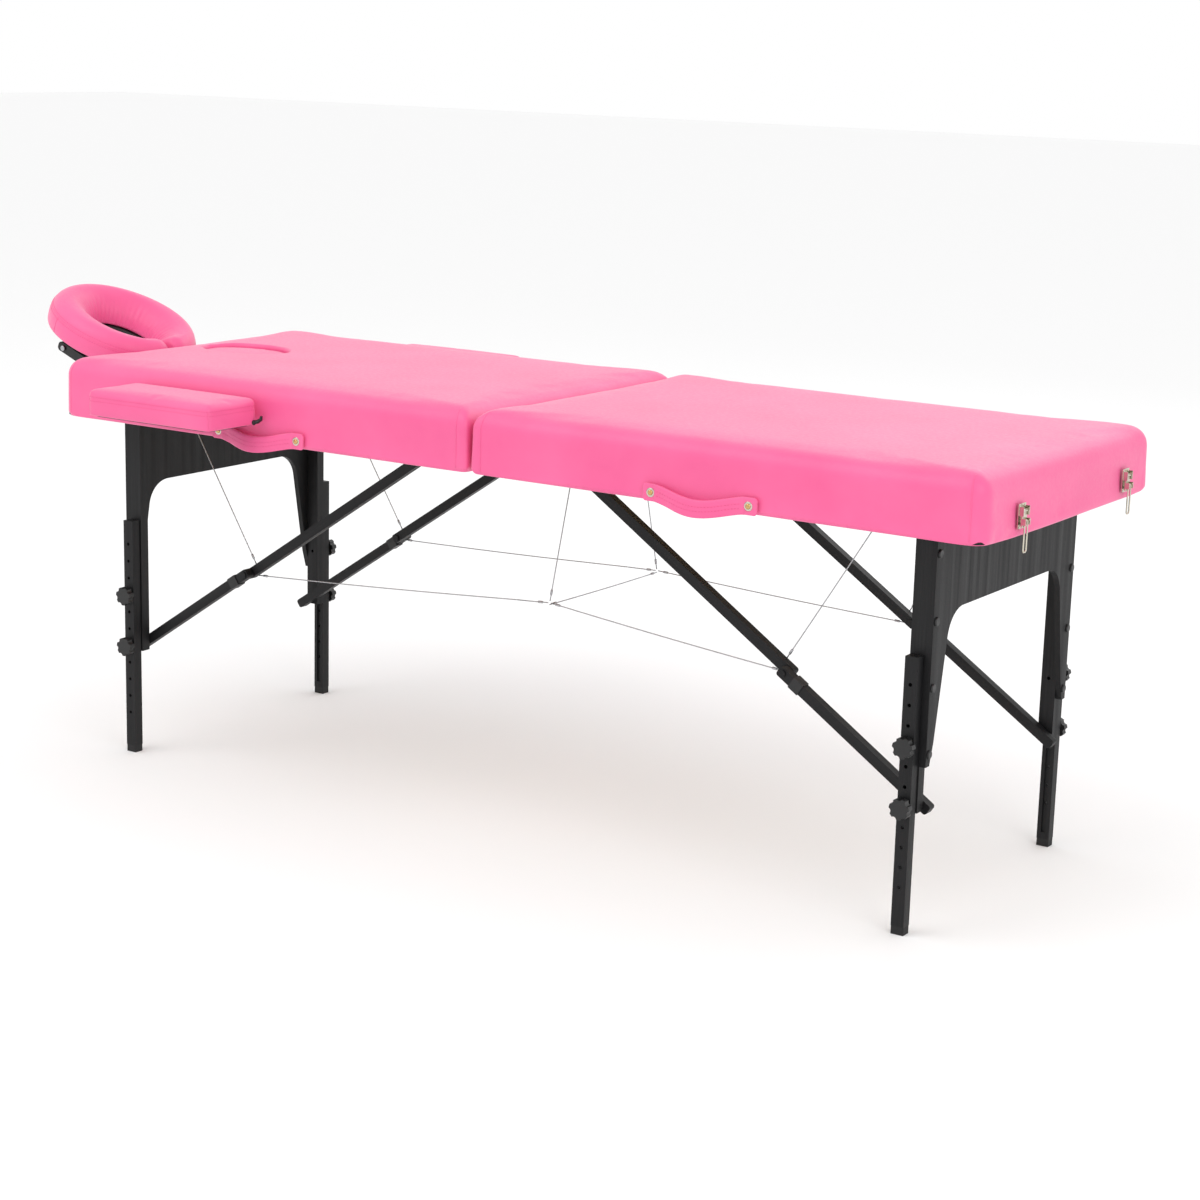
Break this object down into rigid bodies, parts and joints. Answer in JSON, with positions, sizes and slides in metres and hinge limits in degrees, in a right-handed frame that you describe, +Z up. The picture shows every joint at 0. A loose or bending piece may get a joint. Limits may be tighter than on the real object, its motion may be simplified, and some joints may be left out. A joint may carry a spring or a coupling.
{
  "type": "portable massage table",
  "caption": "Two-part folding massage table: padded halves on height-adjustable wooden legs with arch panels, cable braces, side armrests and a tilting face rest.",
  "frame": {"origin": "on the floor under the middle of the whole table, headrest and latches included", "axes": "+X towards the foot end, +Y towards the far side without handles, +Z up"},
  "size_m": [2.1614, 0.922, 0.837],
  "materials": {
    "leatherette": "soft satin, fine grain",
    "black_timber": "black stained, open grain",
    "plywood": "raw sanded",
    "foam": "open cell",
    "black_plastic": "matte moulded",
    "black_rubber": "matte",
    "black_steel": "black coated",
    "nickel": "bright nickel",
    "steel_wire": "bright wire rope",
    "zinc_steel": "zinc plated"
  },
  "bodies": {
    "head_half": {"head_frame_rails": "black_timber", "head_deck": "plywood", "head_foam": "foam", "head_cover": "leatherette", "head_leg_axle": "zinc_steel", "head_hinge_leaves": "zinc_steel", "centre_hinge_pins": "zinc_steel", "head_handle": "leatherette", "head_end_fittings": "black_steel", "head_cables": "steel_wire"},
    "foot_half": {"foot_frame_rails": "black_timber", "foot_deck": "plywood", "foot_foam": "foam", "foot_cover": "leatherette", "foot_leg_axle": "zinc_steel", "foot_hinge_leaves": "zinc_steel", "foot_handle": "leatherette", "latch_plates": "nickel", "foot_cables": "steel_wire"},
    "head_legs": {"head_upper_legs": "black_timber", "head_arch_panel": "black_timber", "head_arch_bolts": "black_steel"},
    "head_upper_brace_pair": {"head_upper_braces": "black_timber"},
    "head_lower_brace_pair": {"head_lower_braces": "black_timber", "head_knee_brackets": "black_steel"},
    "head_near_leg": {"head_lower_leg_near": "black_timber", "head_foot_cap_near": "black_rubber"},
    "head_lower_knob_near_body": {"head_lower_knob_near": "black_plastic"},
    "head_upper_knob_near_body": {"head_upper_knob_near": "black_plastic"},
    "head_far_leg": {"head_lower_leg_far": "black_timber", "head_foot_cap_far": "black_rubber"},
    "head_lower_knob_far_body": {"head_lower_knob_far": "black_plastic"},
    "head_upper_knob_far_body": {"head_upper_knob_far": "black_plastic"},
    "foot_legs": {"foot_upper_legs": "black_timber", "foot_arch_panel": "black_timber", "foot_arch_bolts": "black_steel"},
    "foot_upper_brace_pair": {"foot_upper_braces": "black_timber"},
    "foot_lower_brace_pair": {"foot_lower_braces": "black_timber", "foot_knee_brackets": "black_steel"},
    "foot_near_leg": {"foot_lower_leg_near": "black_timber", "foot_foot_cap_near": "black_rubber"},
    "foot_lower_knob_near_body": {"foot_lower_knob_near": "black_plastic"},
    "foot_upper_knob_near_body": {"foot_upper_knob_near": "black_plastic"},
    "foot_far_leg": {"foot_lower_leg_far": "black_timber", "foot_foot_cap_far": "black_rubber"},
    "foot_lower_knob_far_body": {"foot_lower_knob_far": "black_plastic"},
    "foot_upper_knob_far_body": {"foot_upper_knob_far": "black_plastic"},
    "latch_lever_body_near": {"latch_lever_near": "nickel"},
    "latch_loop_body_near": {"latch_loop_near": "nickel"},
    "armrest_body_near": {"armrest_near": "leatherette"},
    "latch_lever_body_far": {"latch_lever_far": "nickel"},
    "latch_loop_body_far": {"latch_loop_far": "nickel"},
    "armrest_body_far": {"armrest_far": "leatherette"},
    "breathing_plug_body": {"breathing_plug": "leatherette"},
    "headrest_slider": {"headrest_frame": "black_steel"},
    "headrest_tilter": {"headrest_platform": "black_plastic", "headrest_cushion": "leatherette"},
    "headrest_cam": {"headrest_cam_lever": "black_plastic"}
  },
  "joints": [
    {"name": "table_fold", "type": "hinge", "parent": "head_half", "child": "foot_half", "pos_m": [0.14373, 0, 0.626], "axis": [0, 1, 0], "range_deg": [0, 90], "deforming": ["head_cables", "foot_cables"]},
    {"name": "head_leg_fold", "type": "hinge", "parent": "head_half", "child": "head_legs", "pos_m": [-0.65627, 0, 0.655], "axis": [0, -1, 0], "range_deg": [0, 90]},
    {"name": "head_upper_brace_swing", "type": "hinge", "parent": "head_half", "child": "head_upper_brace_pair", "pos_m": [0.00373, 0, 0.643], "axis": [0, 1, 0], "range_deg": [0, 36.89]},
    {"name": "head_lower_brace_swing", "type": "hinge", "parent": "head_legs", "child": "head_lower_brace_pair", "pos_m": [-0.65627, 0, 0.2045], "axis": [0, -1, 0], "range_deg": [0, 53.13]},
    {"name": "head_near_leg_height", "type": "slide", "parent": "head_legs", "child": "head_near_leg", "axis": [0, 0, -1], "range_m": [-0.128, 0.096]},
    {"name": "head_lower_knob_near_turn", "type": "hinge", "parent": "head_near_leg", "child": "head_lower_knob_near_body", "pos_m": [-0.65627, -0.29, 0.2045], "axis": [0, -1, 0], "continuous": true},
    {"name": "head_upper_knob_near_turn", "type": "hinge", "parent": "head_near_leg", "child": "head_upper_knob_near_body", "pos_m": [-0.65627, -0.29, 0.3005], "axis": [0, -1, 0], "continuous": true},
    {"name": "head_far_leg_height", "type": "slide", "parent": "head_legs", "child": "head_far_leg", "axis": [0, 0, -1], "range_m": [-0.128, 0.096]},
    {"name": "head_lower_knob_far_turn", "type": "hinge", "parent": "head_far_leg", "child": "head_lower_knob_far_body", "pos_m": [-0.65627, 0.29, 0.2045], "axis": [0, 1, 0], "continuous": true},
    {"name": "head_upper_knob_far_turn", "type": "hinge", "parent": "head_far_leg", "child": "head_upper_knob_far_body", "pos_m": [-0.65627, 0.29, 0.3005], "axis": [0, 1, 0], "continuous": true},
    {"name": "foot_leg_fold", "type": "hinge", "parent": "foot_half", "child": "foot_legs", "pos_m": [0.94373, 0, 0.655], "axis": [0, 1, 0], "range_deg": [0, 90]},
    {"name": "foot_upper_brace_swing", "type": "hinge", "parent": "foot_half", "child": "foot_upper_brace_pair", "pos_m": [0.28373, 0, 0.643], "axis": [0, -1, 0], "range_deg": [0, 36.89]},
    {"name": "foot_lower_brace_swing", "type": "hinge", "parent": "foot_legs", "child": "foot_lower_brace_pair", "pos_m": [0.94373, 0, 0.2045], "axis": [0, 1, 0], "range_deg": [0, 53.13]},
    {"name": "foot_near_leg_height", "type": "slide", "parent": "foot_legs", "child": "foot_near_leg", "axis": [0, 0, -1], "range_m": [-0.128, 0.096]},
    {"name": "foot_lower_knob_near_turn", "type": "hinge", "parent": "foot_near_leg", "child": "foot_lower_knob_near_body", "pos_m": [0.94373, -0.29, 0.2045], "axis": [0, -1, 0], "continuous": true},
    {"name": "foot_upper_knob_near_turn", "type": "hinge", "parent": "foot_near_leg", "child": "foot_upper_knob_near_body", "pos_m": [0.94373, -0.29, 0.3005], "axis": [0, -1, 0], "continuous": true},
    {"name": "foot_far_leg_height", "type": "slide", "parent": "foot_legs", "child": "foot_far_leg", "axis": [0, 0, -1], "range_m": [-0.128, 0.096]},
    {"name": "foot_lower_knob_far_turn", "type": "hinge", "parent": "foot_far_leg", "child": "foot_lower_knob_far_body", "pos_m": [0.94373, 0.29, 0.2045], "axis": [0, 1, 0], "continuous": true},
    {"name": "foot_upper_knob_far_turn", "type": "hinge", "parent": "foot_far_leg", "child": "foot_upper_knob_far_body", "pos_m": [0.94373, 0.29, 0.3005], "axis": [0, 1, 0], "continuous": true},
    {"name": "latch_lever_near", "type": "hinge", "parent": "foot_half", "child": "latch_lever_body_near", "pos_m": [1.07373, -0.2, 0.667], "axis": [0, -1, 0], "range_deg": [0, 100]},
    {"name": "latch_loop_near", "type": "hinge", "parent": "latch_lever_body_near", "child": "latch_loop_body_near", "pos_m": [1.07773, -0.2, 0.653], "axis": [0, -1, 0], "range_deg": [0, 60]},
    {"name": "armrest_pull_near", "type": "slide", "parent": "head_half", "child": "armrest_body_near", "axis": [0, -1, 0], "range_m": [0, 0.035]},
    {"name": "latch_lever_far", "type": "hinge", "parent": "foot_half", "child": "latch_lever_body_far", "pos_m": [1.07373, 0.2, 0.667], "axis": [0, -1, 0], "range_deg": [0, 100]},
    {"name": "latch_loop_far", "type": "hinge", "parent": "latch_lever_body_far", "child": "latch_loop_body_far", "pos_m": [1.07773, 0.2, 0.653], "axis": [0, -1, 0], "range_deg": [0, 60]},
    {"name": "armrest_pull_far", "type": "slide", "parent": "head_half", "child": "armrest_body_far", "axis": [0, 1, 0], "range_m": [0, 0.035]},
    {"name": "breathing_plug_lift", "type": "slide", "parent": "head_half", "child": "breathing_plug_body", "axis": [0, 0, 1], "range_m": [0, 0.08]},
    {"name": "headrest_slide", "type": "slide", "parent": "head_half", "child": "headrest_slider", "axis": [-1, 0, 0], "range_m": [0, 0.05]},
    {"name": "headrest_tilt", "type": "hinge", "parent": "headrest_slider", "child": "headrest_tilter", "pos_m": [-0.80627, 0, 0.65], "axis": [0, 1, 0], "range_deg": [-22, 6]},
    {"name": "headrest_cam_turn", "type": "hinge", "parent": "headrest_slider", "child": "headrest_cam", "pos_m": [-0.80627, -0.133, 0.65], "axis": [0, 1, 0], "range_deg": [0, 80]}
  ],
  "couplings": [
    {"joint": "head_leg_fold", "follows": "table_fold", "ratio": 1},
    {"joint": "head_upper_brace_swing", "follows": "table_fold", "ratio": 0.40976},
    {"joint": "head_lower_brace_swing", "follows": "table_fold", "ratio": 0.59024},
    {"joint": "foot_leg_fold", "follows": "table_fold", "ratio": 1},
    {"joint": "foot_upper_brace_swing", "follows": "table_fold", "ratio": 0.40976},
    {"joint": "foot_lower_brace_swing", "follows": "table_fold", "ratio": 0.59024}
  ]
}
